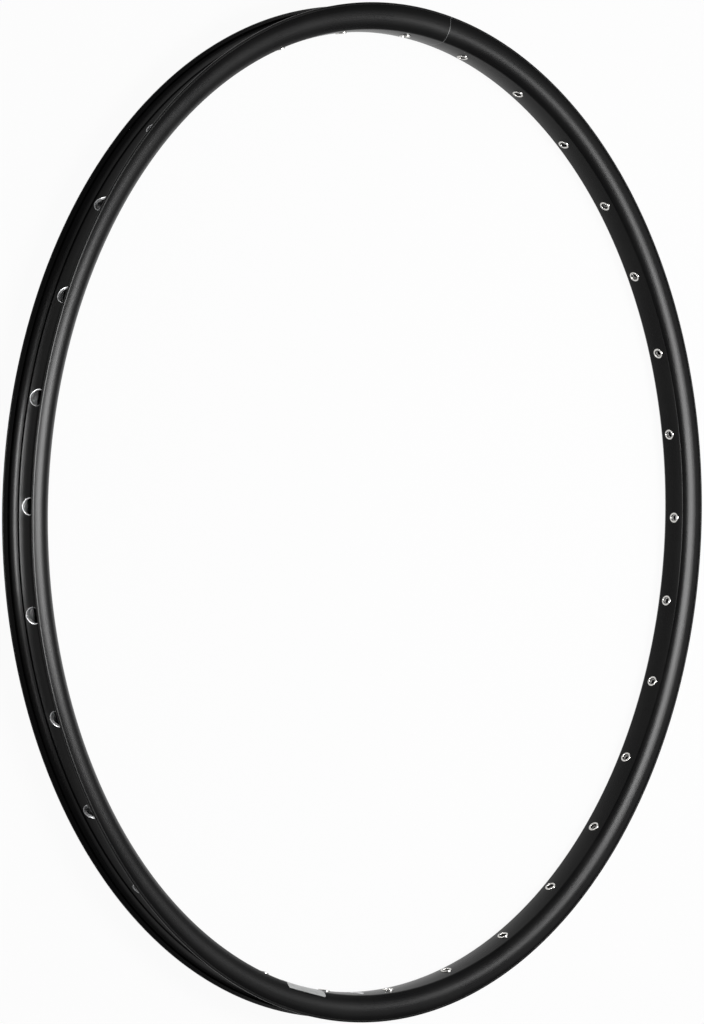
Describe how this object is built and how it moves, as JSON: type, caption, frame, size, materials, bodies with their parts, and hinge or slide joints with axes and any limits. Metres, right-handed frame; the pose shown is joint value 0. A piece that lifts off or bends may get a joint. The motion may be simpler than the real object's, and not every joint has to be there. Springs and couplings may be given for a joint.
{
  "type": "bicycle rim",
  "caption": "Black double-wall bicycle rim of hollow section with hooked flanges, a drop-well tyre bed, staggered spoke holes with bright eyelets and a valve hole.",
  "frame": {"origin": "centre of the wheel, on the middle plane of the rim", "axes": "+Z along the wheel's axis, up from the side that the rim lies on; -Y towards the valve hole"},
  "size_m": [0.634, 0.634, 0.025],
  "materials": {
    "black_anodised": "black anodised, satin",
    "bare_aluminium": "mill finish",
    "bright_eyelet": "nickel plated, bright",
    "label_film": "satin film"
  },
  "bodies": {
    "root": {"rim_hoop": "black_anodised", "joint_sleeve": "bare_aluminium", "label": "label_film", "eyelet_01": "bright_eyelet", "eyelet_02": "bright_eyelet", "eyelet_03": "bright_eyelet", "eyelet_04": "bright_eyelet", "eyelet_05": "bright_eyelet", "eyelet_06": "bright_eyelet", "eyelet_07": "bright_eyelet", "eyelet_08": "bright_eyelet", "eyelet_09": "bright_eyelet", "eyelet_10": "bright_eyelet", "eyelet_11": "bright_eyelet", "eyelet_12": "bright_eyelet", "eyelet_13": "bright_eyelet", "eyelet_14": "bright_eyelet", "eyelet_15": "bright_eyelet", "eyelet_16": "bright_eyelet", "eyelet_17": "bright_eyelet", "eyelet_18": "bright_eyelet", "eyelet_19": "bright_eyelet", "eyelet_20": "bright_eyelet", "eyelet_21": "bright_eyelet", "eyelet_22": "bright_eyelet", "eyelet_23": "bright_eyelet", "eyelet_24": "bright_eyelet", "eyelet_25": "bright_eyelet", "eyelet_26": "bright_eyelet", "eyelet_27": "bright_eyelet", "eyelet_28": "bright_eyelet", "eyelet_29": "bright_eyelet", "eyelet_30": "bright_eyelet", "eyelet_31": "bright_eyelet", "eyelet_32": "bright_eyelet"}
  },
  "joints": []
}
